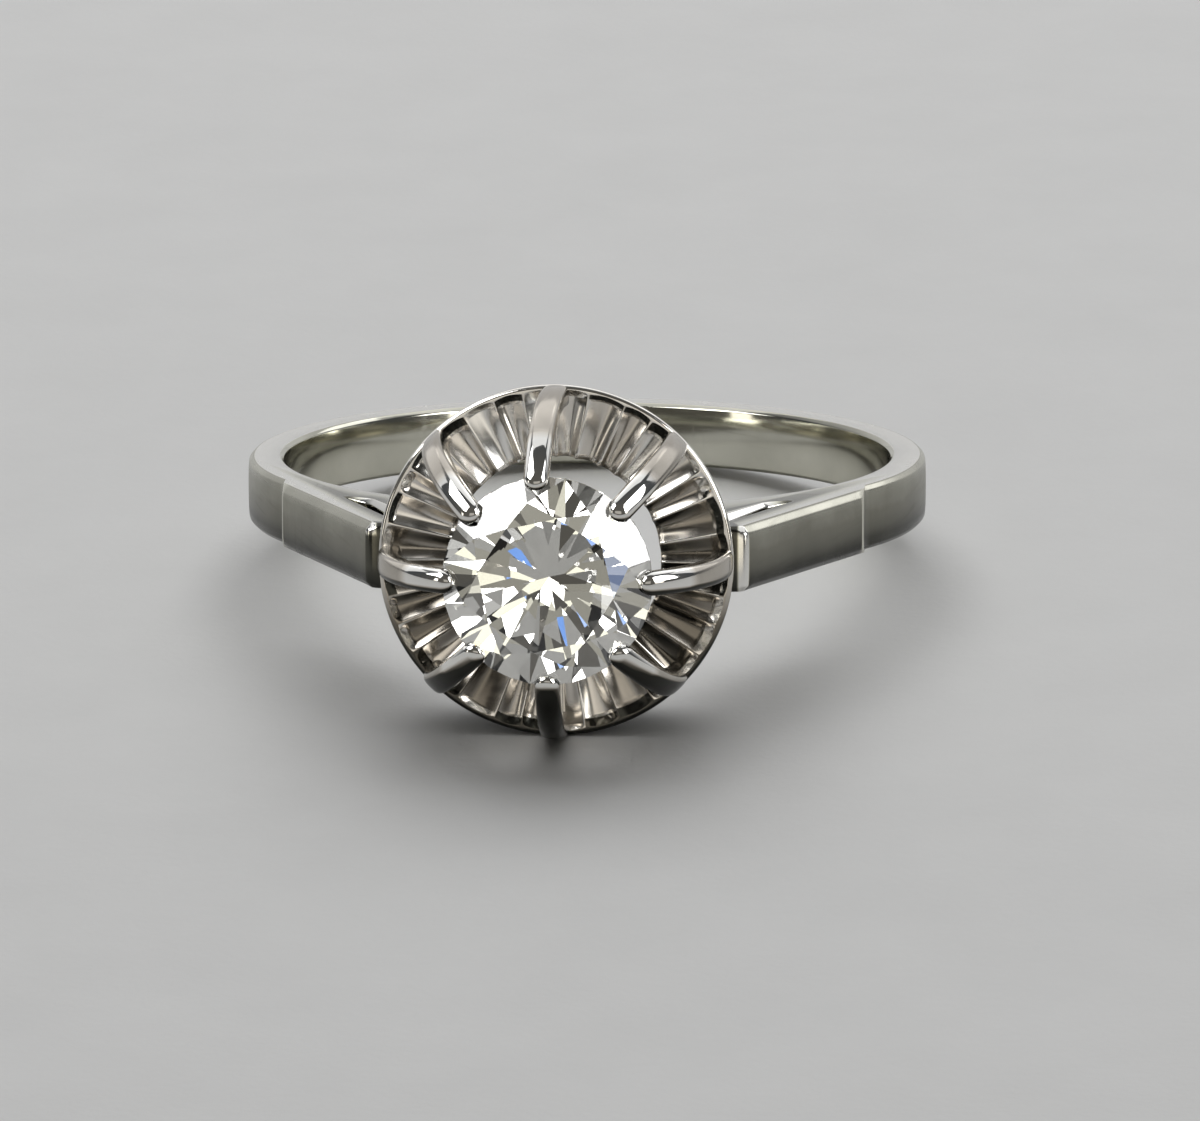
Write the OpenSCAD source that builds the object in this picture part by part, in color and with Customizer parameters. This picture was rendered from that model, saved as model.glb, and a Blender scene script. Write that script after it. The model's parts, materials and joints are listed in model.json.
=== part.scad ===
// Diamond solitaire ring lying on its side, as it rests on a table.
// Sizes are in millimetres. The ring is laid out about its finger axis (Z), with the
// head toward -Y, and is then tipped forward until the rim of the head touches the table.

/* [Finger hole] */
// Inner diameter of the finger hole
finger_d = 17.3; // [16:0.1:19]

/* [Band] */
// Height of the band, measured along the finger
band_w = 1.84; // [1.5:0.02:2.4]
// Thickness of the band wall
band_t = 1.08; // [0.9:0.02:1.3]
// Bevel that softens the long edges of the band
band_edge = 0.1; // [0.05:0.01:0.2]
// Half width of the opening in the band under the head
window_x = 3.75; // [3.5:0.05:3.9]

/* [Shoulders] */
// Distance from the middle of the ring to the step where a shoulder bar starts
seam_x = 8.2; // [7.9:0.02:8.3]
// How far the shoulder bar stands past the band at that step
seam_step = 0.76; // [0.4:0.02:0.9]
// Distance from the middle of the ring to the far end of a shoulder bar
bar_end_x = 5.2; // [5.1:0.02:5.4]
// How far the end of a shoulder bar stays behind the front of the rim
bar_end_back = 0.37; // [0.3:0.01:0.5]
// Bevel along the outer edges of the shoulder bars
bar_bevel = 0.16; // [0.08:0.01:0.25]
// Bevel of the lip that ends each shoulder bar
lip_bevel = 0.12; // [0.06:0.01:0.2]
// Distance from the middle of the ring to the tip of the slot between bar and arm
slot_tip_x = 6.03; // [5.8:0.01:6.2]
// Width of that slot where it meets the cup
slot_w = 0.71; // [0.5:0.01:0.8]

/* [Head] */
// Distance from the finger hole to the back edge of the cup
head_lift = 1.17; // [1:0.01:1.6]
// Height of the cup from its back edge to its rim
cup_h = 2.38; // [2.2:0.02:2.8]
// Radius of the cup at its back edge
cup_back_r = 4.2; // [4.1:0.02:4.3]
// Radius of the cup at its rim
cup_rim_r = 4.92; // [4.8:0.02:5]
// Wall of the cup
cup_wall = 0.55; // [0.45:0.01:0.65]
// Thickness of the fluted plate in the mouth of the cup
plate_t = 0.8; // [0.7:0.02:1]
// Radius of the round opening behind the stone
hole_r = 2.89; // [2.7:0.01:3]

/* [Flutes] */
// Number of flutes around the plate, a multiple of the number of claws
flute_n = 32; // [16:8:32]
// Radius of the cutter at the outer end of each flute
flute_r_out = 0.31; // [0.24:0.01:0.34]
// Radius of the cutter at the inner end of each flute
flute_r_in = 0.175; // [0.12:0.005:0.2]
// Width of the plain rim outside the flutes
rim_line = 0.12; // [0.1:0.01:0.3]

/* [Claws] */
// Number of claws
claw_n = 8; // [4:4:8]
// Width of a claw
claw_w = 0.73; // [0.6:0.01:0.8]
// Thickness of a claw
claw_t = 0.62; // [0.5:0.01:0.7]
// Radius of the bend of a claw, to its middle line
claw_bend = 3.47; // [3.4:0.01:3.6]
// Turn of the bend in degrees
claw_turn = 60; // [56:1:62]
// Straight foot of a claw above the rim
claw_foot = 0.2; // [0.1:0.02:0.4]

/* [Stone] */
// Girdle diameter of the stone
stone_d = 5.75; // [5.6:0.05:5.85]
// Height of the girdle above the rim of the cup
stone_lift = 3.07; // [3:0.01:3.15]
// Table width as a share of the girdle diameter
table_part = 0.655; // [0.55:0.005:0.68]
// Slope of the main crown facets in degrees
crown_deg = 35; // [33:0.5:36]
// Slope of the main pavilion facets in degrees
pavilion_deg = 41; // [40:0.5:42]
// Thickness of the girdle
girdle_t = 0.14; // [0.12:0.01:0.2]
// Turn of the stone about its own axis in degrees
stone_turn = -10; // [-22:1:22]
// Clearance between the stone and its claws
stone_gap = 0.03; // [0.02:0.005:0.05]

/* [Hidden] */

// Radii and distances from the finger axis
finger_r = finger_d / 2;
band_r = finger_r + band_t;
back_l = finger_r + head_lift;
rim_l = back_l + cup_h;
girdle_l = rim_l + stone_lift;
girdle_r = stone_d / 2;
table_r = girdle_r * table_part;
table_l = girdle_l + girdle_t / 2 + (girdle_r - table_r) * tan(crown_deg);

// The rim's widest circle lies a little behind its bevelled front face
rim_bevel = 0.06;
rest_l = rim_l - rim_bevel;

// The ring rests on the rim in front and on the lower bevel of the band behind
corner_z = band_w / 2 - band_edge;
foot_r = band_r - band_edge;
tilt = atan((cup_rim_r - band_w / 2) / (rest_l + foot_r));
rest_h = band_w / 2 * cos(tilt) + foot_r * sin(tilt);

// Reach of the tilted ring, which centres it on the origin
front_y = table_l * cos(tilt) + table_r * cos(stone_turn) * sin(tilt);
back_y = band_r * cos(tilt) + corner_z * sin(tilt);
centre_y = (front_y - back_y) / 2;

// Right shoulder in plan: x, and distance from the finger axis
seam_in = sqrt(pow(band_r, 2) - pow(seam_x, 2));
seam_out = seam_in + seam_step;
bar_end_l = rim_l - bar_end_back;
slot_tip = [slot_tip_x, sqrt(pow(band_r, 2) - pow(slot_tip_x, 2)) + 0.12];
slot_arm = [cup_back_r + 0.43, back_l + 0.2];
slot_bar = [slot_arm[0] + 0.09, slot_arm[1] + slot_w];
cup_inside_x = cup_back_r - cup_wall / 2;

// Middle line of a claw: a straight foot, then an arc about this centre
claw_r = cup_rim_r - claw_t / 2 - 0.03;
bend_x = claw_r - claw_bend;
bend_l = rim_l + claw_foot;
claw_root = 0.5;

// Hand-bent lean of each claw to its side, in degrees, counted from the right-hand claw
claw_leans = [0, 0, 5, 2.5, 0, 0, 0, 0];

// Radius, as a share of the girdle's, at which the lower halves end
lower_part = 0.23;

// Margin by which a cutter runs past what it cuts
past = 1;

module rest_on_table() {
  translate([0, centre_y, rest_h])
    rotate([-tilt, 0, 0])
      children();
}

// Head frame: Z runs outward from the finger axis
module head_frame() {
  rotate([90, 0, 0])
    children();
}

module band() {
  h = band_w / 2;
  difference() {
    rotate_extrude($fn = 180)
      polygon([
        [finger_r + band_edge, -h],
        [band_r - band_edge, -h],
        [band_r, -corner_z],
        [band_r, corner_z],
        [band_r - band_edge, h],
        [finger_r + band_edge, h],
        [finger_r, corner_z],
        [finger_r, -corner_z]
      ]);
    translate([-window_x, -band_r - past, -band_w])
      cube([2 * window_x, band_r, 2 * band_w]);
  }
}

// Plan of a shoulder: the straight outer bar and the inner arm along the finger hole
module shoulder_plan() {
  polygon([
    [seam_x, -seam_in + band_t / 2],
    [seam_x, -seam_out],
    [bar_end_x + lip_bevel / 2, -bar_end_l + lip_bevel],
    [bar_end_x - lip_bevel, -bar_end_l],
    [cup_inside_x, -bar_end_l],
    [cup_inside_x, -back_l - cup_wall],
    [window_x, -back_l - cup_wall],
    [window_x, -finger_r + past],
    [slot_tip_x, -finger_r / 2]
  ]);
}

module slot_plan() {
  polygon([
    [slot_tip[0], -slot_tip[1]],
    [slot_bar[0], -slot_bar[1]],
    [cup_inside_x, -slot_bar[1] - slot_w / 2],
    [cup_inside_x, -slot_arm[1]],
    [slot_arm[0], -slot_arm[1]]
  ]);
}

// Bevel along the outer edge of a shoulder bar
module bar_edge_cut(side) {
  edge = bar_bevel * sqrt(2);
  translate([seam_x, -seam_out, side * band_w / 2])
    rotate([0, 0, atan2(bar_end_l - seam_out, seam_x - bar_end_x)])
      rotate([45, 0, 0])
        cube([2 * bar_end_l, edge, edge], center = true);
}

module shoulder() {
  difference() {
    linear_extrude(height = band_w, center = true)
      shoulder_plan();
    linear_extrude(height = 2 * band_w, center = true)
      slot_plan();
    cylinder(r = finger_r, h = 2 * band_w, center = true, $fn = 180);
    bar_edge_cut(1);
    bar_edge_cut(-1);
    head_frame()
      cup_hollow();
  }
}

module shoulders() {
  shoulder();
  mirror([1, 0, 0])
    shoulder();
}

module cup_body() {
  rotate_extrude($fn = 144)
    polygon([
      [0, back_l],
      [cup_back_r - rim_bevel, back_l],
      [cup_back_r, back_l + rim_bevel],
      [cup_rim_r, rest_l],
      [cup_rim_r - rim_bevel, rim_l],
      [0, rim_l]
    ]);
}

// Inside of the cup, open to the finger, and the round opening through the plate
module cup_hollow() {
  floor_l = rim_l - plate_t;
  floor_r = cup_back_r - cup_wall + 0.4;
  rotate_extrude($fn = 144)
    polygon([
      [0, back_l - past],
      [cup_back_r - cup_wall, back_l - past],
      [cup_back_r - cup_wall, back_l],
      [floor_r, floor_l - 0.2],
      [floor_r - 0.2, floor_l],
      [hole_r + 0.3, floor_l],
      [hole_r, floor_l + 0.3],
      [hole_r, rim_l + past],
      [0, rim_l + past]
    ]);
}

// One flute: a tapered round cut that deepens outward and ends in a slightly wider ball
module flute() {
  end_r = cup_rim_r - rim_line - flute_r_out;
  start_r = hole_r - 0.4;
  rise = 0.08;
  ball_step = 0.02;
  translate([start_r, 0, rim_l + rise])
    rotate([0, 90 + atan(rise / (end_r - start_r)), 0])
      cylinder(r1 = flute_r_in, r2 = flute_r_out - ball_step, h = end_r - start_r, $fn = 32);
  translate([end_r, 0, rim_l])
    sphere(r = flute_r_out, $fn = 32);
}

module flutes() {
  pitch = 360 / flute_n;
  for (i = [0:flute_n - 1])
    rotate([0, 0, (i + 0.5) * pitch])
      flute();
}

module claw() {
  // Root inside the plate, clear of the cup's outer wall
  translate([claw_r - claw_t / 2, -claw_w / 2, rim_l - claw_root])
    cube([claw_t - 0.16, claw_w, claw_root + claw_foot / 2]);
  translate([claw_r - claw_t / 2, -claw_w / 2, rest_l])
    cube([claw_t, claw_w, bend_l - rest_l]);
  translate([bend_x, 0, bend_l]) {
    rotate([90, 0, 0])
      rotate_extrude(angle = claw_turn, $fn = 96)
        translate([claw_bend - claw_t / 2, -claw_w / 2])
          square([claw_t, claw_w]);
    rotate([0, -claw_turn, 0])
      translate([claw_bend, 0, 0])
        rotate([0, 90, 0])
          cylinder(r = claw_w / 2, h = claw_t, center = true, $fn = 32);
  }
}

module claws() {
  for (i = [0:claw_n - 1])
    rotate([0, 0, i * 360 / claw_n])
      translate([0, 0, rim_l])
        rotate([-claw_leans[i], 0, 0])
          translate([0, 0, -rim_l])
            claw();
}

// Room for the stone, grown by the clearance
module stone_seat() {
  r = girdle_r + stone_gap;
  h = girdle_t / 2 + stone_gap;
  crown_h = (girdle_r - table_r) * tan(crown_deg + 6);
  rotate_extrude($fn = 96)
    polygon([
      [0, girdle_l - h - r * tan(pavilion_deg)],
      [r, girdle_l - h],
      [r, girdle_l + h],
      [table_r, girdle_l + h + crown_h],
      [0, girdle_l + h + crown_h]
    ]);
}

module head() {
  difference() {
    union() {
      difference() {
        cup_body();
        flutes();
      }
      claws();
    }
    cup_hollow();
    stone_seat();
  }
}

module band_and_setting() {
  color([0.86, 0.85, 0.83])
    rest_on_table()
      union() {
        band();
        shoulders();
        head_frame()
          head();
      }
}

// A point at a radius, an angle and a height
function at(r, a, z) = [r * cos(a), r * sin(a), z];

// Round brilliant: table, 8 stars, 8 kites, 16 upper halves, girdle, 16 lower halves, 8 mains
module brilliant() {
  half = 22.5;
  quarter = half / 2;
  girdle_n = 32;
  top = girdle_t / 2;
  star_r = (table_r * cos(half) + girdle_r) / 2;
  star_rise = (girdle_r - star_r * cos(half)) * tan(crown_deg);
  lower_r = girdle_r * lower_part;
  lower_drop = (girdle_r - lower_r * cos(half)) * tan(pavilion_deg);

  // The girdle's edge dips in the middle of each half facet, where the stone bulges past its chord
  bulge = girdle_r * (1 - cos(quarter)) / cos(quarter);
  upper_dip = bulge * star_rise / (girdle_r - star_r);
  lower_dip = bulge * lower_drop / (girdle_r - lower_r);

  points = concat(
    [for (i = [0:7]) at(table_r, 45 * i, table_l - girdle_l)],
    [for (i = [0:7]) at(star_r, 45 * i + half, top + star_rise)],
    [for (j = [0:girdle_n - 1]) at(girdle_r, quarter * j, top - (j % 2) * upper_dip)],
    [for (j = [0:girdle_n - 1]) at(girdle_r, quarter * j, -top + (j % 2) * lower_dip)],
    [for (i = [0:7]) at(lower_r, 45 * i + half, -top - lower_drop)],
    [at(0, 0, -top - girdle_r * tan(pavilion_deg))]
  );

  // Place of a point in the list, ring by ring
  function table_at(i) = (i + 8) % 8;
  function star_at(i) = 8 + (i + 8) % 8;
  function upper_at(j) = 16 + j % girdle_n;
  function lower_at(j) = 16 + girdle_n + j % girdle_n;
  function deep_at(i) = 16 + 2 * girdle_n + (i + 8) % 8;
  culet = 24 + 2 * girdle_n;

  faces = concat(
    [[for (i = [0:7]) table_at(7 - i)]],
    [for (i = [0:7]) [table_at(i), table_at(i + 1), star_at(i)]],
    [for (i = [0:7]) [table_at(i), star_at(i), upper_at(4 * i), star_at(i - 1)]],
    [for (i = [0:7], k = [0, 2])
      [star_at(i), upper_at(4 * i + k + 2), upper_at(4 * i + k + 1), upper_at(4 * i + k)]],
    [for (j = [0:girdle_n - 1]) [upper_at(j), upper_at(j + 1), lower_at(j + 1), lower_at(j)]],
    [for (i = [0:7], k = [0, 2])
      [deep_at(i), lower_at(4 * i + k), lower_at(4 * i + k + 1), lower_at(4 * i + k + 2)]],
    [for (i = [0:7]) [deep_at(i), culet, deep_at(i - 1), lower_at(4 * i)]]
  );
  polyhedron(points, faces);
}

module diamond() {
  color([0.93, 0.95, 0.97, 0.6])
    rest_on_table()
      head_frame()
        translate([0, 0, girdle_l])
          rotate([0, 0, stone_turn])
            brilliant();
}

band_and_setting();
diamond();
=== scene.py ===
import bisect
import json
import math
import random
from collections import namedtuple

import bmesh
import bpy
from mathutils import Matrix, Vector


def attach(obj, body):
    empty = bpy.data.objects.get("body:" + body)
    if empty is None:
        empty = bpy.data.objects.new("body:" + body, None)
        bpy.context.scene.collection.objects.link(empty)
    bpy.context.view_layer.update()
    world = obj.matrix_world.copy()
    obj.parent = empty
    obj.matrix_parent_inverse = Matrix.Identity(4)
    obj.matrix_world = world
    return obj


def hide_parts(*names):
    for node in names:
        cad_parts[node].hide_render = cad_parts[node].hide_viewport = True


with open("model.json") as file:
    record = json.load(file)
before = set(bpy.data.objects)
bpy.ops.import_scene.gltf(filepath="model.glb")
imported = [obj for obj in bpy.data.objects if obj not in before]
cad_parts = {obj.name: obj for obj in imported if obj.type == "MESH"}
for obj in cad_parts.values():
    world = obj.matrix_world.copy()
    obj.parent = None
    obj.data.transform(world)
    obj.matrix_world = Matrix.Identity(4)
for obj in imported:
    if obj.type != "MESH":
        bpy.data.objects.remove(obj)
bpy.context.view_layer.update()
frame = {"record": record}

# Sizes in metres, in the ring's own frame: the finger axis is Z and the head is toward -Y.
# A name that ends in R is a radius, W a width, T a thickness, X a distance from the middle to the side,
# and L a distance from the finger axis along the head
MM = 0.001

# Band
FINGER_R = 8.65 * MM
BAND_R = 9.73 * MM
BAND_W = 1.84 * MM
WINDOW_X = 3.75 * MM
HOOP_BEVEL = 0.13 * MM
FINGER_BEVEL = 0.1 * MM

# Shoulders
SEAM_X = 8.2 * MM
SEAM_STEP = 0.76 * MM
BAR_END_X = 5.2 * MM
BAR_END_BACK = 0.37 * MM
SLOT_TIP_X = 6.25 * MM
SLOT_W = 0.71 * MM
BAR_BEVEL = 0.2 * MM
ARM_BEVEL = 0.23 * MM
SLOT_BEVEL = 0.06 * MM
HIDDEN_BEVEL = 0.05 * MM

# Cup and flutes
BACK_L = 9.82 * MM
RIM_L = 12.2 * MM
CUP_BACK_R = 4.2 * MM
CUP_RIM_R = 4.91 * MM
CUP_WALL = 0.55 * MM
CUP_SLOPE = (CUP_RIM_R - CUP_BACK_R) / (RIM_L - BACK_L)
PLATE_T = 0.8 * MM
HOLE_R = 2.89 * MM
RIM_BEVEL = 0.11 * MM
FLUTES = 32
FLUTE_DEPTH = 0.22 * MM
FLUTE_RISE = 0.08 * MM

# Claws
CLAWS = 8
CLAW_W = 0.73 * MM
CLAW_T = 0.62 * MM
CLAW_R = 4.58 * MM
CLAW_BEND = 3.47 * MM
CLAW_TURN = math.radians(60)
CLAW_FOOT = 0.2 * MM
CLAW_ROOT = 0.4 * MM
CLAW_SATIN = 2.5 * MM
CLAW_FADE = 0.25 * MM
# Hand-bent lean of each claw to its side, in degrees, counted from the right-hand claw
CLAW_LEANS = (0, 0, 5, 2.5, 0, 0, 0, 0)

# Stone
GIRDLE_L = 15.27 * MM
GIRDLE_R = 2.875 * MM
GIRDLE_T = 0.14 * MM
TABLE_R = 0.655 * GIRDLE_R
CROWN = math.radians(33.5)
PAVILION = math.radians(41.8)
LOWER_PART = 0.17
STONE_TURN = math.radians(-10)
STONE_GAP = 0.03 * MM

# The ring rests on the rim of its head and on the lower edge of the band behind. The record's mount
# gives the middle and the axis of the finger hole as the ring lies
FINGER_HOLE = frame["record"]["mounts"][0]
CENTRE = Vector(FINGER_HOLE["pos_m"])
TILT = math.atan2(FINGER_HOLE["axis"][1], FINGER_HOLE["axis"][2])
REST = Matrix.Translation(CENTRE) @ Matrix.Rotation(-TILT, 4, "X")
HEAD = REST @ Matrix.Rotation(math.pi / 2, 4, "X")

# The photograph's camera: its distance from the floor under the middle of the finger hole, which it faces,
# then its elevation, yaw, roll and lens
CAM_DISTANCE = 280.8 * MM
CAM_UP = math.radians(20.85)
CAM_YAW = math.radians(4.32)
CAM_ROLL = math.radians(0.96)
CAM_LENS = 292.04
# In pixels of the photograph: its width, the place of the point that the camera faces, and its middle
PHOTO_WIDTH = 1200
PHOTO_AIM = (588.67, 570.10)
PHOTO_CENTRE = (600, 560.5)


# Mesh helpers

def add_mesh(name, points, faces, matrix, sharp=40):
    """A new object at the origin, with its points placed by the matrix and its normals turned outward."""
    mesh = bpy.data.meshes.new(name)
    mesh.from_pydata([matrix @ Vector(p) for p in points], [], faces)
    bm = bmesh.new()
    bm.from_mesh(mesh)
    bmesh.ops.recalc_face_normals(bm, faces=bm.faces)
    bm.to_mesh(mesh)
    bm.free()
    if sharp:
        smooth_below(mesh, sharp)
    obj = bpy.data.objects.new(name, mesh)
    bpy.context.scene.collection.objects.link(obj)
    return obj


def smooth_below(mesh, degrees):
    """Smooth shading, with sharp edges from the given angle up."""
    mesh.polygons.foreach_set("use_smooth", [True] * len(mesh.polygons))
    mesh.set_sharp_from_angle(angle=math.radians(degrees))


def loft(rings, capped=True, closed=False):
    """Points and faces of a skin through closed rings of equal length."""
    n = len(rings[0])
    points = [p for ring in rings for p in ring]
    faces = []
    spans = len(rings) if closed else len(rings) - 1
    for k in range(spans):
        a = k * n
        b = (k + 1) % len(rings) * n
        faces += [(a + i, a + (i + 1) % n, b + (i + 1) % n, b + i) for i in range(n)]
    if capped:
        faces.append(tuple(reversed(range(n))))
        faces.append(tuple(range(len(points) - n, len(points))))
    return points, faces


def paint(obj, name, values):
    """Keeps one value for each point of the piece, which its material reads."""
    layer = obj.data.attributes.new(name, "FLOAT", "POINT")
    layer.data.foreach_set("value", values)


def painted_shade_below(obj, tones, share):
    """The tones of the piece's points, raised where its surface faces down: painted shade."""
    nearly_level = 0.05
    falls = [max(0, -normal.vector.z - nearly_level) for normal in obj.data.vertex_normals]
    return [tone + share * fall for tone, fall in zip(tones, falls)]


def ride_as(obj, slot, *nodes):
    """The piece rides on the one body and stands for the nodes. The slot is not used."""
    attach(obj, "root")
    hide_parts(*nodes)


# The band's outline in plan

# A point of the outline: its place and bevel, the way in from it, how far in that way leads, and the way on
Rim = namedtuple("Rim", "place bevel inward limit beyond")
# Where there is no fillet, the way in never ends or turns
NO_LIMIT = 1
NO_TURN = Vector((0, 0))


def arc(radius, start, end, step=math.radians(1.5)):
    """Points of an arc about the finger axis."""
    n = max(2, round(abs(end - start) / step))
    turn = [start + (end - start) * i / n for i in range(n + 1)]
    return [Vector((radius * math.cos(a), radius * math.sin(a))) for a in turn]


def rounded(corner, before, after, radius, bevel, n=5):
    """Rim points of a fillet between two straight edges."""
    a = (before - corner).normalized()
    b = (after - corner).normalized()
    half = a.angle(b) / 2
    middle = corner + (a + b).normalized() * radius / math.sin(half)
    start = corner + a * radius / math.tan(half) - middle
    turn = -start.angle_signed(corner + b * radius / math.tan(half) - middle)
    outward = turn < 0
    out = []
    for i in range(n + 1):
        c, s = math.cos(turn * i / n), math.sin(turn * i / n)
        spoke = Vector((start.x * c - start.y * s, start.x * s + start.y * c))
        inward = -spoke / radius if outward else spoke / radius
        limit = 0.97 * radius if outward else NO_LIMIT
        out.append(Rim(middle + spoke, bevel, inward, limit, (middle - corner) / radius))
    return out


def rim_point(rim, inset):
    """A point of the outline moved inward: along its own normal, then along its fillet's corner line."""
    return rim.place + rim.inward * min(inset, rim.limit) + rim.beyond * max(0, inset - rim.limit)


def along_arc(radius, start, end, bevel):
    """Rim points of an arc. The solid lies inside the hoop's arc and outside the finger's."""
    side = -1 if radius == BAND_R else 1
    return [Rim(p, bevel, p.normalized() * side, NO_LIMIT, NO_TURN) for p in arc(radius, start, end)]


def mitred(corner, before, after, bevel):
    """Rim point of a plain corner of the clockwise outline."""
    a = (corner - before).normalized()
    b = (after - corner).normalized()
    mean = Vector((a.y + b.y, -a.x - b.x)).normalized()
    return Rim(corner, bevel, mean / mean.dot(Vector((a.y, -a.x))), NO_LIMIT, NO_TURN)


def cut_off(place, bevel, inward):
    """Rim point of an edge whose chamfer ends squarely on the upright cut of the seam."""
    return Rim(place, bevel, Vector((0, 1 / inward.y)), NO_LIMIT, NO_TURN)


def mirrored(rim):
    """The same rim point on the left half."""
    flip = Vector((-1, 1))
    return Rim(rim.place * flip, rim.bevel, rim.inward * flip, rim.limit, rim.beyond * flip)


def band_outline():
    """Right half of the plan, clockwise from the hoop's back by the window to the finger hole's back."""
    seam_in = math.sqrt(BAND_R ** 2 - SEAM_X ** 2)
    seam_angle = -math.asin(seam_in / BAND_R)
    window_angle = -math.acos(WINDOW_X / FINGER_R)
    hoop = along_arc(BAND_R, math.pi / 2, seam_angle + math.radians(1.8), HOOP_BEVEL)
    finger = along_arc(FINGER_R, window_angle, math.pi / 2, FINGER_BEVEL)

    # The outer bar runs straight from the step at the seam to the lip beside the rim
    seam = Vector((SEAM_X, -seam_in))
    step = Vector((SEAM_X, -seam_in - SEAM_STEP))
    lip = Vector((BAR_END_X + 0.05 * MM, BAR_END_BACK - RIM_L))
    along = (lip - step).normalized()
    bar_inward = Vector((along.y, -along.x))
    seam_rim = [
        cut_off(seam, HOOP_BEVEL, -seam.normalized()),
        cut_off(step + Vector((0, 0.04 * MM)), BAR_BEVEL, bar_inward),
        cut_off(step + along * 0.04 * MM, BAR_BEVEL, bar_inward),
    ]

    # The inner arm narrows along the slot and ends inside the cup's wall
    inside = CUP_BACK_R - 0.05 * MM
    bar = Vector((CUP_BACK_R + 0.52 * MM, -BACK_L - 0.2 * MM - SLOT_W))
    tip = Vector((SLOT_TIP_X, -math.sqrt(BAND_R ** 2 - SLOT_TIP_X ** 2) - 0.12 * MM))
    belly = Vector((5.56 * MM, -8.0 * MM))
    arm = Vector((CUP_BACK_R + 0.2 * MM, -BACK_L - 0.57 * MM))
    arm_end = Vector((CUP_BACK_R + 0.05 * MM, -BACK_L - 0.88 * MM))

    # Corners with their fillet radius and bevel. Some only mark where the bevel, the satin or the painted
    # shade changes
    corners = [
        (step + along * 0.08 * MM, 0, BAR_BEVEL),
        (lip - along * 0.6 * MM, 0, BAR_BEVEL),
        (lip - along * 0.45 * MM, 0, BAR_BEVEL),
        (lip, 0.26 * MM, 0.18 * MM),
        (lip - Vector((0.21 * MM, 0)), 0, 0.14 * MM),
        (lip - Vector((0.29 * MM, 0)), 0, 0.12 * MM),
        (Vector((inside, lip.y)), 0, HIDDEN_BEVEL),
        (Vector((inside, bar.y - 0.25 * MM)), 0, HIDDEN_BEVEL),
        (bar, 0.1 * MM, SLOT_BEVEL),
        (tip, 0.03 * MM, SLOT_BEVEL),
        (belly, 0.5 * MM, 0.12 * MM),
        (arm + (belly - arm).normalized() * 0.15 * MM, 0, ARM_BEVEL),
        (arm, 0, ARM_BEVEL),
        (arm_end, 0, 0.04 * MM),
        (arm_end - Vector((0.22 * MM, 0)), 0, 0.04 * MM),
        (Vector((WINDOW_X, -BACK_L - 0.13 * MM)), 0, HIDDEN_BEVEL),
        (Vector((WINDOW_X, finger[0].place.y)), 0, FINGER_BEVEL),
    ]
    places = [seam_rim[-1].place] + [corner for corner, _, _ in corners] + [finger[1].place]
    out = hoop + seam_rim
    for i, (corner, radius, bevel) in enumerate(corners):
        if radius:
            out += rounded(corner, places[i], places[i + 2], radius, bevel)
        else:
            out.append(mitred(corner, places[i], places[i + 2], bevel))
    return out + finger[1:]


# The band

# Section of a chamfer: inset and drop from the flat face, as shares of the bevel
CHAMFER = [
    (0, 1.3), (0.03, 1.08), (0.12, 0.9), (0.22, 0.78),
    (0.78, 0.22), (0.9, 0.12), (1.08, 0.03), (1.3, 0),
]

# Tones of the rows from the lower face up, from 0 for bright metal to 1.5 for nearly black, all painted
# shade and highlight.
# Both flat faces are painted bright, the lower chamfer is painted black, and the wall is painted darkest
# below and paler upward, with a painted dark line where the upper chamfer meets the top
LOWER_TONES = [0.1, 0.1] + [1.5] * 7
WALL_TONES = [1.45, 1.2, 1.05, 0.95, 0.9]
UPPER_TONES = [0.85, 0.8, 0.7, 0.7, 0.7, 0.7, 0.9, 0.05, 0.05]

# Least and most painted shade of a wall, its share of the satin, and the painted tone of its upper edge or
# None
ShadeAndSatin = namedtuple("ShadeAndSatin", "least most satin upper")


def beside_finger(place):
    """Whether a place of the outline lies on the wall of the finger hole."""
    return place.length < FINGER_R + 0.02 * MM


def wall_shade_and_satin(place):
    """Painted shade and highlight of the upright wall at a place of the outline, and its share of satin."""
    x, out = abs(place.x), -place.y
    # The finger hole's wall: its painted shade held to mid-dark
    if beside_finger(place):
        return ShadeAndSatin(0, 0.65, 0.1, None)
    if out > BACK_L + SLOT_W + 0.4 * MM:
        # The end of the bar beside the rim, painted nearly black as shade, and its rounded lip: a painted
        # highlight on the right, painted shade under a bright upper edge on the left
        if x < BAR_END_X - 0.22 * MM:
            return ShadeAndSatin(1.4, 1.5, 0.2, None)
        if x < BAR_END_X + 0.12 * MM:
            return ShadeAndSatin(0, 0.05, 0.2, None) if place.x > 0 else ShadeAndSatin(1.3, 1.5, 0.2, 0)
    if x < SLOT_TIP_X + 0.1 * MM and BACK_L - 2.5 * MM < out < BACK_L + 1.05 * MM:
        # Round the slot the wall is painted dark as shade, and its upper edge has painted shade at the bar
        # and the slot's tip and a painted highlight at the arm
        bar_end = out > BACK_L + 0.5 * MM and x > CUP_BACK_R + 0.35 * MM
        dark = bar_end or x > SLOT_TIP_X - 0.2 * MM
        return ShadeAndSatin(1.2, 1.5, 0.1, 1.2 if dark else 0)
    # The upright cut at the seam is held lighter than the wall: a painted highlight
    if abs(x - SEAM_X) < 0.03 * MM and out > math.sqrt(BAND_R ** 2 - SEAM_X ** 2) + 0.1 * MM:
        return ShadeAndSatin(0, 0.5, 0.8, None)
    return ShadeAndSatin(0, 1.5, 1, None)


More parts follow.
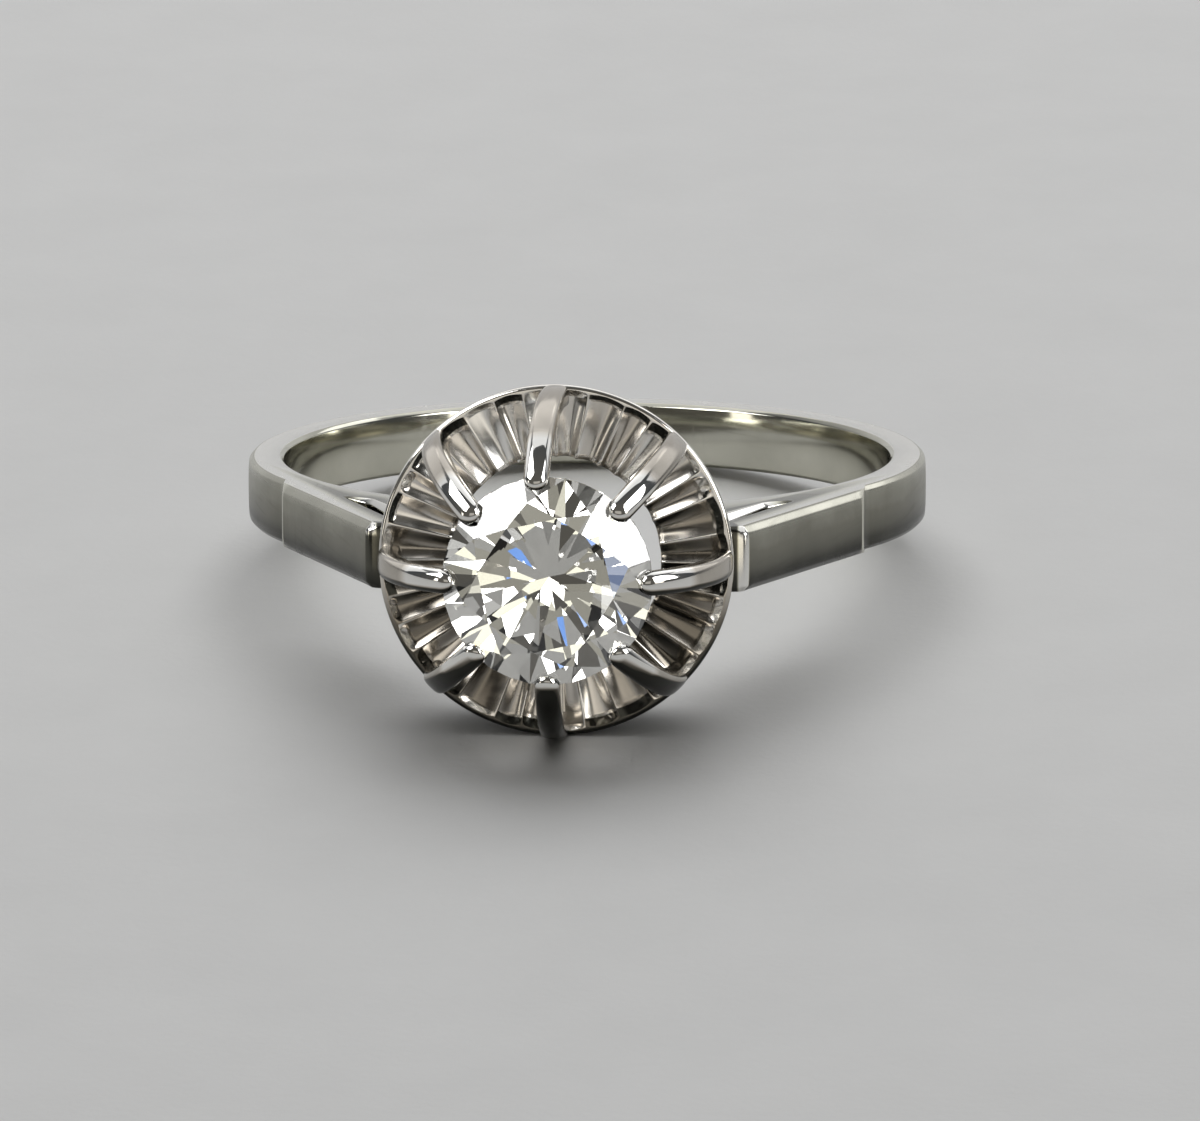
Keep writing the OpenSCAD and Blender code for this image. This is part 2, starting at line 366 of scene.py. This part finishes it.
def make_band():
    """Hoop and shoulders: one plan raised along the finger, with soft chamfers and swollen walls."""
    right = band_outline()
    path = right[:-1] + [mirrored(rim) for rim in reversed(right)][:-1]
    h = BAND_W / 2
    # The wall round the finger swells a little more than the others
    swells = [(0.05 if beside_finger(rim.place) else 0.02) * MM for rim in path]
    edge = [
        [(rim.bevel * inset + swell, h - rim.bevel * drop) for rim, swell in zip(path, swells)]
        for inset, drop in CHAMFER
    ]
    edge.append([(rim.bevel * 1.3 + swell + 0.03 * MM, h) for rim, swell in zip(path, swells)])
    wall = [[(swell * t * t, t * h) for swell in swells] for t in (-0.6, -0.3, 0, 0.3, 0.6)]
    rows = [[(i, -z) for i, z in row] for row in reversed(edge)] + wall + edge
    rings = [[(*rim_point(rim, i), z) for rim, (i, z) in zip(path, row)] for row in rows]
    band = add_mesh("band_and_shoulders", *loft(rings), REST)

    # Painted shade and highlight by row, held within each wall's range round the outline
    tones = LOWER_TONES + WALL_TONES + UPPER_TONES
    shades_and_satins = [wall_shade_and_satin(rim.place) for rim in path]
    columns = []
    for shade_satin in shades_and_satins:
        column = [min(max(tone, shade_satin.least), shade_satin.most) for tone in tones]
        if shade_satin.upper is not None:
            chamfer = slice(-len(edge), -2)
            column[chamfer] = [shade_satin.upper] * len(column[chamfer])
        columns.append(column)
    paint(band, "tone", [tone for row in zip(*columns) for tone in row])
    rough = [0.6] * len(edge) + [1] * len(wall) + [0.6] * len(edge)
    paint(band, "satin", [share * shade_satin.satin for share in rough for shade_satin in shades_and_satins])
    return band


# The cup

# A flute: half the rib beside it, depth, lean and power of its arch, margin to the rim, run of its end,
# phase of its streaks,
# and the tones of its end and its floor: painted shade at the end, and on the floor its own random tone
# with painted shade by place
Flute = namedtuple("Flute", "rib depth lean power margin run phase cap dull")


def flute_shade_by_place(turn):
    """Painted shade of the flutes by place: darkest on the right, then on the left and below, and bright
    above.
    """
    return 0.55 * math.cos(turn) ** 2 + 0.2 * math.cos(turn) - 0.35 * math.sin(turn)


def flute_table():
    """Where each hand-cut flute starts, and its own small differences in shape."""
    chance = random.Random(7)
    pitch = 2 * math.pi / FLUTES
    starts = []
    for k in range(FLUTES):
        # A flute that starts under a claw stays near its place, and the others wander more
        wander = chance.uniform(-1.7, 1.7) if k % (FLUTES // CLAWS) else chance.uniform(-0.4, 0.4)
        starts.append(k * pitch + math.radians(wander))
    starts.append(starts[0] + 2 * math.pi)
    flutes = [
        Flute(
            rib=chance.uniform(0.005, 0.025) * MM,
            depth=chance.uniform(0.75, 1.15),
            lean=chance.uniform(-0.6, 0.6),
            power=chance.uniform(1.7, 2.8),
            margin=chance.uniform(0.12, 0.16) * MM,
            run=chance.uniform(0.15, 0.45) * MM,
            phase=chance.uniform(0, math.pi),
            cap=chance.choice((0, 0.3, 1.5, 1.5)),
            dull=max(0.02, chance.choice((0, 0.1, 0.3, 0.6)) + flute_shade_by_place(k * pitch)),
        )
        for k in range(FLUTES)
    ]
    return starts, flutes


def flute_cut(r, turn, table):
    """Depth below the rim's plane at a radius and an angle, and the tone there, 0 where it is the rim's."""
    rounding = 0.16 * MM
    over = min(1, max(0, (HOLE_R + rounding - r) / rounding))
    drop = 0.12 * MM * (1 - math.sqrt(1 - over * over))
    starts, flutes = table
    if turn < starts[0]:
        turn += 2 * math.pi
    k = min(bisect.bisect_right(starts, turn), FLUTES) - 1
    flute = flutes[k]
    middle = (starts[k] + starts[k + 1]) / 2
    half = r * math.tan((starts[k + 1] - starts[k]) / 2) - flute.rib
    side = r * math.sin(turn - middle) / half
    inner, outer = HOLE_R - 0.2 * MM, CUP_RIM_R - flute.margin
    to_end = (outer - 0.05 * MM * side * side - r) / flute.run
    if abs(side) >= 1 or to_end <= 0:
        return drop, 0
    along = min(1, (r - inner) / (outer - inner))
    floor = (FLUTE_DEPTH - FLUTE_RISE * along) * flute.depth
    arch = (1 - abs(side) ** flute.power) * (1 + flute.lean * side)
    streaks = 0.003 * MM * math.cos(7 * side + flute.phase) * (1 - side * side)
    scoop = 1 - (1 - min(1, to_end)) ** 1.4
    # The floor's tone fades to bright toward the ribs; the end takes its painted shade
    tone = flute.dull * (1 - side ** 6) if to_end >= 0.7 else flute.cap
    return drop + (floor * arch + streaks) * scoop, tone


def cup_profile():
    """Back of the cup's section from the rim round to the opening, as radius and height."""
    floor_l = RIM_L - PLATE_T
    inner = CUP_BACK_R - CUP_WALL
    flare = inner + 0.4 * MM
    soft = 0.03 * MM
    return [
        (CUP_RIM_R - RIM_BEVEL, RIM_L),
        (CUP_RIM_R - RIM_BEVEL * 0.3, RIM_L - RIM_BEVEL * 0.3),
        (CUP_RIM_R, RIM_L - RIM_BEVEL),
        (CUP_RIM_R - CUP_SLOPE * 0.2 * MM, RIM_L - RIM_BEVEL - 0.2 * MM),
        (CUP_BACK_R + CUP_SLOPE * 0.2 * MM, BACK_L + RIM_BEVEL + 0.2 * MM),
        (CUP_BACK_R, BACK_L + RIM_BEVEL),
        (CUP_BACK_R - RIM_BEVEL * 0.3, BACK_L + RIM_BEVEL * 0.3),
        (CUP_BACK_R - RIM_BEVEL, BACK_L),
        (inner + 2 * soft, BACK_L),
        (inner + soft * 0.6, BACK_L + soft * 0.6),
        (inner, BACK_L + 2 * soft),
        (inner + 0.02 * MM, BACK_L + 0.2 * MM),
        (flare - soft, floor_l - 0.2 * MM - 4 * soft),
        (flare - soft, floor_l - 0.2 * MM),
        (flare - 0.2 * MM, floor_l - soft),
        (flare - 0.25 * MM, floor_l),
        (HOLE_R + 0.3 * MM, floor_l),
        (HOLE_R + 0.27 * MM, floor_l + 0.02 * MM),
        (HOLE_R + 0.02 * MM, floor_l + 0.27 * MM),
        (HOLE_R, floor_l + 0.31 * MM),
        (HOLE_R, floor_l + 0.5 * MM),
    ]


def plate_radii():
    """Radii of the plate's rows, which lie closer together near the rim, where the flutes end."""
    inner_edge, outer_edge = HOLE_R + 0.03 * MM, CUP_RIM_R - RIM_BEVEL
    knee = CUP_RIM_R - 0.6 * MM
    near, far = 28, 42
    radii = [inner_edge + (knee - inner_edge) * i / near for i in range(near)]
    return radii + [knee + (outer_edge - knee) * i / far for i in range(far)]


def make_cup():
    """The cup with its fluted plate, as one closed grid of sections round the head's axis."""
    table = flute_table()
    radii = plate_radii()
    back = cup_profile()
    columns = FLUTES * 26
    rings = []
    tones = []
    rough = []
    for c in range(columns):
        turn = 2 * math.pi * (c + 0.5) / columns
        cuts = [flute_cut(r, turn, table) for r in radii]
        edge = RIM_L - cuts[0][0]
        section = [(HOLE_R, edge - 0.04 * MM), (HOLE_R + 0.008 * MM, edge - 0.012 * MM)]
        section += [(r, RIM_L - depth) for r, (depth, _) in zip(radii, cuts)]
        section += back
        rings.append([(r * math.cos(turn), r * math.sin(turn), height) for r, height in section])
        # Painted shade: the rim grows dark on the lower half of the head
        rim_shade = 0.2 + 1.1 * min(1, max(0, -2 * math.sin(turn)))
        back_tones = [rim_shade] * 3 + [0.3] * (len(back) - 3)
        tones += [0.5] * 2 + [tone or rim_shade for _, tone in cuts] + back_tones
        rough += [0.5] * 2 + [0.8 if tone else 0.2 for _, tone in cuts] + [0.2] * len(back)
    cup = add_mesh("fluted_cup", *loft(rings, capped=False, closed=True), HEAD, sharp=75)
    # Painted shade where the cup faces down
    paint(cup, "tone", painted_shade_below(cup, tones, 1.6))
    paint(cup, "satin", rough)
    return cup


# The claws

# Section of a claw: place of its middle, lean inward, shares of full width and thickness, and squareness
Station = namedtuple("Station", "radius height lean wide thick power")


def claw_path():
    """Stations of a claw from its root inside the cup to its round tip."""
    out = []
    # The root leans in with the cup's wall, so that it stays inside the metal below the rim
    root = 12
    for i in range(root):
        rise = (CLAW_ROOT + CLAW_FOOT) * i / root - CLAW_ROOT
        out.append(Station(CLAW_R - max(0, -RIM_BEVEL - rise) * CUP_SLOPE, RIM_L + rise, 0, 1, 1, 3.6))
    bend = 28
    for i in range(bend + 1):
        t = i / bend
        lean = CLAW_TURN * t
        radius = CLAW_R - CLAW_BEND + CLAW_BEND * math.cos(lean)
        height = RIM_L + CLAW_FOOT + CLAW_BEND * math.sin(lean)
        out.append(Station(radius, height, lean, 1 - 0.04 * t, 1 - 0.06 * t, 3.6 - 1.3 * t))
    last = out[-1]
    tip = 12
    for i in range(1, tip + 1):
        t = math.sin(math.pi / 2 * i / tip)
        reach = CLAW_W / 2 * t
        swell = math.sqrt(max(0.0, 1 - t * t))
        radius = last.radius - reach * math.sin(last.lean)
        height = last.height + reach * math.cos(last.lean)
        wide, thick = last.wide * (0.04 + 0.96 * swell), last.thick * (0.25 + 0.75 * swell)
        out.append(Station(radius, height, last.lean, wide, thick, last.power))
    return out


def make_seat():
    """Room for the stone with its clearance, which the claws are cut with."""
    r = GIRDLE_R + STONE_GAP
    h = GIRDLE_T / 2 + STONE_GAP
    bottom = GIRDLE_L - h - r * math.tan(PAVILION)
    top = GIRDLE_L + h + (GIRDLE_R - TABLE_R) * math.tan(CROWN + math.radians(6))
    profile = [(bottom, 0.001 * MM), (GIRDLE_L - h, r), (GIRDLE_L + h, r), (top, TABLE_R)]
    n = 96
    turns = [2 * math.pi * i / n for i in range(n)]
    rings = [[(q * math.cos(a), q * math.sin(a), height) for a in turns] for height, q in profile]
    return add_mesh("seat_cutter", *loft(rings), HEAD, sharp=0)


def cut_seat(claw, seat):
    """Takes the stone's room out of the claw's mesh."""
    cut = claw.modifiers.new("seat", "BOOLEAN")
    cut.operation = "DIFFERENCE"
    cut.solver = "EXACT"
    cut.object = seat
    done = bpy.data.meshes.new_from_object(claw.evaluated_get(bpy.context.evaluated_depsgraph_get()))
    claw.modifiers.clear()
    claw.data = done
    done.name = claw.name
    smooth_below(done, 42)


def paint_claw(claw):
    """Satin and a little darker from the root up, polished where the claw bends over the stone, and painted
    shade where it faces down.
    """
    to_head = HEAD.inverted()
    heights = [(to_head @ point.co).z - RIM_L for point in claw.data.vertices]
    straight = [min(1, max(0, 1 - (height - CLAW_SATIN) / CLAW_FADE)) for height in heights]
    paint(claw, "tone", painted_shade_below(claw, [0.7 * share for share in straight], 6))
    paint(claw, "satin", [0.7 * share for share in straight])


def make_claw(index, seat):
    """One claw, swept along its bend and notched for the stone."""
    sides = 36
    turns = [2 * math.pi * (i + 0.5) / sides for i in range(sides)]
    rings = []
    for station in claw_path():
        ring = []
        for t in turns:
            c, s = math.cos(t), math.sin(t)
            x = math.copysign(abs(c) ** (2 / station.power), c) * CLAW_W / 2 * station.wide
            y = math.copysign(abs(s) ** (2 / station.power), s) * CLAW_T / 2 * station.thick
            lean = station.lean
            ring.append((station.radius + y * math.cos(lean), x, station.height + y * math.sin(lean)))
        rings.append(ring)
    turn = Matrix.Rotation(2 * math.pi * index / CLAWS, 4, "Z")
    foot = Matrix.Translation((0, 0, RIM_L))
    sideways = Matrix.Rotation(math.radians(-CLAW_LEANS[index]), 4, "X")
    place = HEAD @ turn @ foot @ sideways @ foot.inverted()
    claw = add_mesh(f"claw_{index + 1}", *loft(rings), place, sharp=0)
    cut_seat(claw, seat)
    paint_claw(claw)
    return claw


# The stone

def make_stone():
    """Round brilliant of flat facets, ring by ring from the table to the culet."""
    half = math.radians(22.5)
    quarter = half / 2
    n = 32
    top = GIRDLE_T / 2
    star_r = (TABLE_R * math.cos(half) + GIRDLE_R) / 2
    star_rise = (GIRDLE_R - star_r * math.cos(half)) * math.tan(CROWN)
    lower_r = GIRDLE_R * LOWER_PART
    lower_drop = (GIRDLE_R - lower_r * math.cos(half)) * math.tan(PAVILION)
    # The girdle's edge dips in the middle of each half facet, where the stone bulges past its chord
    bulge = GIRDLE_R * (1 - math.cos(quarter)) / math.cos(quarter)
    upper_dip = bulge * star_rise / (GIRDLE_R - star_r)
    lower_dip = bulge * lower_drop / (GIRDLE_R - lower_r)
    table_z = top + (GIRDLE_R - TABLE_R) * math.tan(CROWN)

    def at(r, a, z):
        return (r * math.cos(a), r * math.sin(a), z)

    points = [at(TABLE_R, 2 * half * i, table_z) for i in range(8)]
    points += [at(star_r, 2 * half * i + half, top + star_rise) for i in range(8)]
    points += [at(GIRDLE_R, quarter * j, top - j % 2 * upper_dip) for j in range(n)]
    points += [at(GIRDLE_R, quarter * j, -top + j % 2 * lower_dip) for j in range(n)]
    points += [at(lower_r, 2 * half * i + half, -top - lower_drop) for i in range(8)]
    points.append((0, 0, -top - GIRDLE_R * math.tan(PAVILION)))

    # Where each ring starts in the list of points
    star, upper, lower, deep, culet = 8, 16, 16 + n, 16 + 2 * n, 24 + 2 * n
    faces = [tuple(range(8))]
    for i in range(8):
        after = (i + 1) % 8
        faces.append((i, after, star + i))
        faces.append((i, star + i, upper + 4 * i, star + (i - 1) % 8))
        faces.append((deep + i, culet, deep + (i - 1) % 8, lower + 4 * i))
        for k in (0, 2):
            j = [(4 * i + k + m) % n for m in range(3)]
            faces.append((star + i, upper + j[0], upper + j[1], upper + j[2]))
            faces.append((deep + i, lower + j[0], lower + j[1], lower + j[2]))
    faces += [(upper + j, upper + (j + 1) % n, lower + (j + 1) % n, lower + j) for j in range(n)]
    place = HEAD @ Matrix.Translation((0, 0, GIRDLE_L)) @ Matrix.Rotation(STONE_TURN, 4, "Z")
    return add_mesh("brilliant", points, faces, place, sharp=0)


# Materials

class Nodes:
    """Short ways to add and link the nodes of one material."""

    def __init__(self, name):
        self.material = bpy.data.materials.new(name)
        self.material.use_nodes = True
        self.tree = self.material.node_tree
        self.shader = self.tree.nodes["Principled BSDF"]
        self.position = self.add("ShaderNodeTexCoord").outputs["Object"]

    def add(self, kind, **values):
        node = self.tree.nodes.new(kind)
        for key, value in values.items():
            if key in node.inputs:
                node.inputs[key].default_value = value
            else:
                setattr(node, key, value)
        return node

    def link(self, out, into):
        self.tree.links.new(out, into)

    def painted(self, name):
        """Values that paint() kept with the piece."""
        return self.add("ShaderNodeAttribute", attribute_name=name).outputs["Fac"]

    def noise(self, vector, scale, detail, roughness=0.5):
        node = self.add("ShaderNodeTexNoise", Scale=scale, Detail=detail, Roughness=roughness)
        self.link(vector, node.inputs["Vector"])
        return node.outputs["Fac"]

    def stretched(self, turn, stretch):
        """Object coordinates turned and squeezed, for marks that run one way."""
        node = self.add("ShaderNodeMapping", Rotation=turn, Scale=stretch)
        self.link(self.position, node.inputs["Vector"])
        return node.outputs["Vector"]

    def ramp(self, value, *stops):
        """Greys or colours between stops, each a place from 0 to 1 and its grey or colour."""
        node = self.add("ShaderNodeValToRGB")
        while len(node.color_ramp.elements) < len(stops):
            node.color_ramp.elements.new(0.5)
        for element, (place, colour) in zip(node.color_ramp.elements, stops):
            element.position = place
            element.color = (*colour, 1) if isinstance(colour, tuple) else (colour, colour, colour, 1)
        self.link(value, node.inputs["Fac"])
        return node.outputs["Color"]

    def combine(self, a, b, operation="ADD"):
        """A sum, or another operation, of a value and a number or a second value."""
        node = self.add("ShaderNodeMath", operation=operation)
        self.link(a, node.inputs[0])
        if isinstance(b, (int, float)):
            node.inputs[1].default_value = b
        else:
            self.link(b, node.inputs[1])
        return node.outputs[0]

    def bump(self, height, distance):
        node = self.add("ShaderNodeBump", Distance=distance)
        self.link(height, node.inputs["Height"])
        self.link(node.outputs["Normal"], self.shader.inputs["Normal"])


def white_gold(name, dull, deep, smoothest, roughest, wave):
    """White gold in the tones painted on the piece, mostly painted shade and highlight, and its painted
    satin, with hairlines and a slight wave.
    """
    metal = Nodes(name)
    cloud = metal.noise(metal.position, 450, 4, 0.55)
    uneven = metal.combine(metal.combine(cloud, -0.5), 0.3, "MULTIPLY")
    shaded_and_uneven = metal.combine(metal.combine(metal.painted("tone"), uneven), 1.5, "DIVIDE")
    bright, black = (0.86, 0.85, 0.82), (0.04, 0.04, 0.035)
    colour = metal.ramp(shaded_and_uneven, (0.03, bright), (0.33, dull), (0.66, deep), (1.0, black))
    metal.link(colour, metal.shader.inputs["Base Color"])
    metal.shader.inputs["Metallic"].default_value = 1.0

    lines = metal.noise(metal.stretched((0.4, 0.3, 0.2), (1, 1, 14)), 450, 2)
    cross = metal.noise(metal.stretched((1.1, -0.5, 0.9), (12, 1, 1)), 380, 2)
    fine_lines = metal.ramp(lines, (0.55, 0.0), (0.7, 1.0))
    fine_cross = metal.ramp(cross, (0.58, 0.0), (0.72, 1.0))
    marks = metal.combine(fine_lines, fine_cross)
    satin = metal.combine(metal.painted("satin"), 0.8, "MULTIPLY")
    spread = metal.combine(metal.combine(marks, 0.2, "MULTIPLY"), satin)
    polish = metal.add("ShaderNodeMapRange")
    polish.inputs["To Min"].default_value = smoothest
    polish.inputs["To Max"].default_value = roughest
    metal.link(metal.combine(spread, metal.combine(uneven, 0.6, "MULTIPLY")), polish.inputs["Value"])
    metal.link(polish.outputs["Result"], metal.shader.inputs["Roughness"])

    scratches = metal.combine(marks, 0.0001 * MM, "MULTIPLY")
    swell = metal.combine(metal.noise(metal.position, 700, 1), wave, "MULTIPLY")
    metal.bump(metal.combine(scratches, swell), 1.0)
    return metal.material


def diamond_glass():
    """Clear stone with the faintest cream tint that varies inside it."""
    glass = Nodes("diamond_crystal")
    cream, clear = (1.0, 0.985, 0.93), (0.985, 0.985, 0.95)
    tint = glass.ramp(glass.noise(glass.position, 500, 2), (0.3, cream), (0.7, clear))
    glass.link(tint, glass.shader.inputs["Base Color"])
    glass.shader.inputs["Roughness"].default_value = 0.0
    glass.shader.inputs["IOR"].default_value = 2.417
    glass.shader.inputs["Transmission Weight"].default_value = 1.0
    return glass.material


def floor_paper():
    """Plain pale paper, faintly uneven."""
    paper = Nodes("pale_paper")
    greyer, paler = (0.78, 0.78, 0.775), (0.81, 0.81, 0.805)
    tone = paper.ramp(paper.noise(paper.position, 220, 5, 0.6), (0.3, greyer), (0.7, paler))
    paper.link(tone, paper.shader.inputs["Base Color"])
    paper.shader.inputs["Roughness"].default_value = 0.75
    paper.bump(paper.noise(paper.position, 4000, 3), 0.01 * MM)
    return paper.material


# Studio

def make_camera():
    """The camera at the photograph's angle, with the shift that its framing needs."""
    data = bpy.data.cameras.new("photo_camera")
    camera = bpy.data.objects.new("photo_camera", data)
    bpy.context.scene.collection.objects.link(camera)
    reach = Vector((
        math.cos(CAM_UP) * math.sin(CAM_YAW),
        -math.cos(CAM_UP) * math.cos(CAM_YAW),
        math.sin(CAM_UP),
    ))
    turn = (
        Matrix.Rotation(CAM_YAW, 4, "Z")
        @ Matrix.Rotation(math.pi / 2 - CAM_UP, 4, "X")
        @ Matrix.Rotation(-CAM_ROLL, 4, "Z")
    )
    camera.matrix_world = Matrix.Translation(Vector((0, CENTRE.y, 0)) + reach * CAM_DISTANCE) @ turn
    data.sensor_fit = "HORIZONTAL"
    data.sensor_width = 36
    data.lens = CAM_LENS
    data.shift_x = (PHOTO_CENTRE[0] - PHOTO_AIM[0]) / PHOTO_WIDTH
    data.shift_y = (PHOTO_AIM[1] - PHOTO_CENTRE[1]) / PHOTO_WIDTH
    data.clip_start = 0.01
    data.clip_end = 10
    bpy.context.scene.camera = camera


def make_floor():
    """A flat grid of paper under the ring."""
    half = 1.5
    n = 24
    line = [-half + 2 * half * i / n for i in range(n + 1)]
    points = [(x, y, 0) for y in line for x in line]
    corners = [j * (n + 1) + i for j in range(n) for i in range(n)]
    faces = [(a, a + 1, a + n + 2, a + n + 1) for a in corners]
    floor = add_mesh("floor", points, faces, Matrix())
    floor.data.materials.append(floor_paper())
    return floor


def softbox(name, toward, distance, size, glow, only=(), colour=(1, 1, 1)):
    """A rectangular light that looks at the ring from a direction, with its glow given per area.

    Where it lights only some pieces, they are its receivers."""
    data = bpy.data.lights.new(name, "AREA")
    data.shape = "RECTANGLE"
    data.size, data.size_y = size
    data.energy = glow * math.pi * size[0] * size[1]
    data.color = colour
    lamp = bpy.data.objects.new(name, data)
    lamp.location = Vector(toward).normalized() * distance
    lamp.rotation_euler = (-lamp.location).to_track_quat("-Z", "Y").to_euler()
    lamp.visible_camera = False
    bpy.context.scene.collection.objects.link(lamp)
    if only:
        lit = bpy.data.collections.new(name + "_receivers")
        for piece in only:
            lit.objects.link(piece)
        lamp.light_linking.receiver_collection = lit


def glints(stone):
    """Panels round the head's axis that wake the facets: most white or cream, some blue or amber."""
    count = 36
    golden_turn = math.pi * (3 - math.sqrt(5))
    glows = (5, 1.2, 2.5, 0.6)
    whites = ((1, 1, 1), (1, 0.98, 0.85), (1, 1, 0.95), (0.95, 0.93, 0.78))
    for k in range(count):
        off = math.radians(12 + 42 * k / count)
        turn = k * golden_turn
        toward = Vector((math.sin(off) * math.cos(turn), math.sin(off) * math.sin(turn), math.cos(off)))
        side, glow, colour = 0.05, glows[k % 4], whites[k * 3 % 4]
        if k % 5 == 3:
            side, glow, colour = 0.035, 1.2, (0.15, 0.38, 1.0)
        if k % 11 == 5:
            side, glow, colour = 0.02, 6, (1.0, 0.6, 0.2)
        softbox(f"glint_{k + 1}", HEAD.to_3x3() @ toward, 0.3, (side, side), glow, [stone], colour)
    softbox("stone_fill", (0, -0.9, 0.42), 0.4, (0.7, 0.3), 0.28, [stone], (1, 0.98, 0.86))


def make_sky():
    """Surroundings that are dim and warm in front, dim above and pale behind."""
    world = bpy.data.worlds.new("studio")
    bpy.context.scene.world = world
    world.use_nodes = True
    tree = world.node_tree
    place = tree.nodes.new("ShaderNodeTexCoord")
    split = tree.nodes.new("ShaderNodeSeparateXYZ")
    shift = tree.nodes.new("ShaderNodeMapRange")
    ramp = tree.nodes.new("ShaderNodeValToRGB")
    tree.links.new(place.outputs["Generated"], split.inputs[0])
    tree.links.new(split.outputs["Y"], shift.inputs["Value"])
    tree.links.new(shift.outputs["Result"], ramp.inputs["Fac"])
    tree.links.new(ramp.outputs["Color"], tree.nodes["Background"].inputs["Color"])
    shift.inputs["From Min"].default_value = -1
    front, above = ramp.color_ramp.elements
    front.position = 0.2
    front.color = (0.10, 0.095, 0.085, 1)
    above.position = 0.55
    above.color = (0.06, 0.065, 0.07, 1)
    behind = ramp.color_ramp.elements.new(0.95)
    behind.color = (0.65, 0.65, 0.65, 1)


def make_studio(band, cup, claws, stone, floor):
    """Soft lights round the ring, some of them for a few pieces only."""
    head = [cup, *claws]
    metal = [band, *head]
    warm, warmer = (1, 0.95, 0.85), (1, 0.93, 0.78)
    make_sky()
    softbox("top_softbox", (0, 0.42, 0.9), 0.45, (0.6, 0.5), 0.8)
    softbox("paper_softbox", (0, 0.42, 0.9), 0.46, (0.5, 0.4), 1.0, [floor])
    softbox("left_softbox", (-0.63, -0.32, 0.71), 0.32, (0.2, 0.2), 6, [*metal, stone])
    softbox("right_softbox", (0.78, -0.41, 0.47), 0.32, (0.16, 0.2), 6, [*metal, stone])
    softbox("right_back_softbox", (0.6, 0.64, 0.47), 0.35, (0.14, 0.14), 1.3, [band])
    softbox("low_softbox", (0.05, -1, 0.06), 0.33, (0.25, 0.08), 0.8, [band], warmer)
    softbox("front_softbox", (0.05, -0.96, 0.27), 0.33, (0.25, 0.1), 0.35, metal, (1, 0.96, 0.88))
    softbox("cup_fill", (0.05, -0.96, 0.24), 0.33, (0.34, 0.16), 0.55, [cup], (1, 0.95, 0.87))
    softbox("left_side", (-0.75, 0.45, 0.42), 0.32, (0.28, 0.2), 0.65, head)
    softbox("right_side", (0.7, 0.42, 0.52), 0.32, (0.28, 0.2), 0.65, head)
    softbox("right_strip", (0.81, -0.56, 0.14), 0.32, (0.06, 0.07), 2, metal, warm)
    softbox("left_strip", (-0.86, -0.5, 0.14), 0.32, (0.05, 0.07), 2, metal, warm)
    glints(stone)
    bpy.context.scene.view_settings.view_transform = "Standard"
    bpy.context.scene.cycles.use_denoising = True


# The scene

make_camera()
seat = make_seat()
band = make_band()
cup = make_cup()
claws = [make_claw(i, seat) for i in range(CLAWS)]
bpy.data.objects.remove(seat)
stone = make_stone()

polished = white_gold(
    "white_gold_polished", dull=(0.66, 0.62, 0.56), deep=(0.2, 0.18, 0.15),
    smoothest=0.05, roughest=0.3, wave=0.001 * MM,
)
satin = white_gold(
    "white_gold_satin", dull=(0.72, 0.71, 0.62), deep=(0.22, 0.215, 0.18),
    smoothest=0.08, roughest=0.4, wave=0.0005 * MM,
)
band.data.materials.append(satin)
for piece in (cup, *claws):
    piece.data.materials.clear()
    piece.data.materials.append(polished)
stone.data.materials.append(diamond_glass())
for piece in (band, cup, *claws):
    ride_as(piece, "white_gold", "band_and_setting")
ride_as(stone, "diamond", "diamond")
make_studio(band, cup, claws, stone, make_floor())
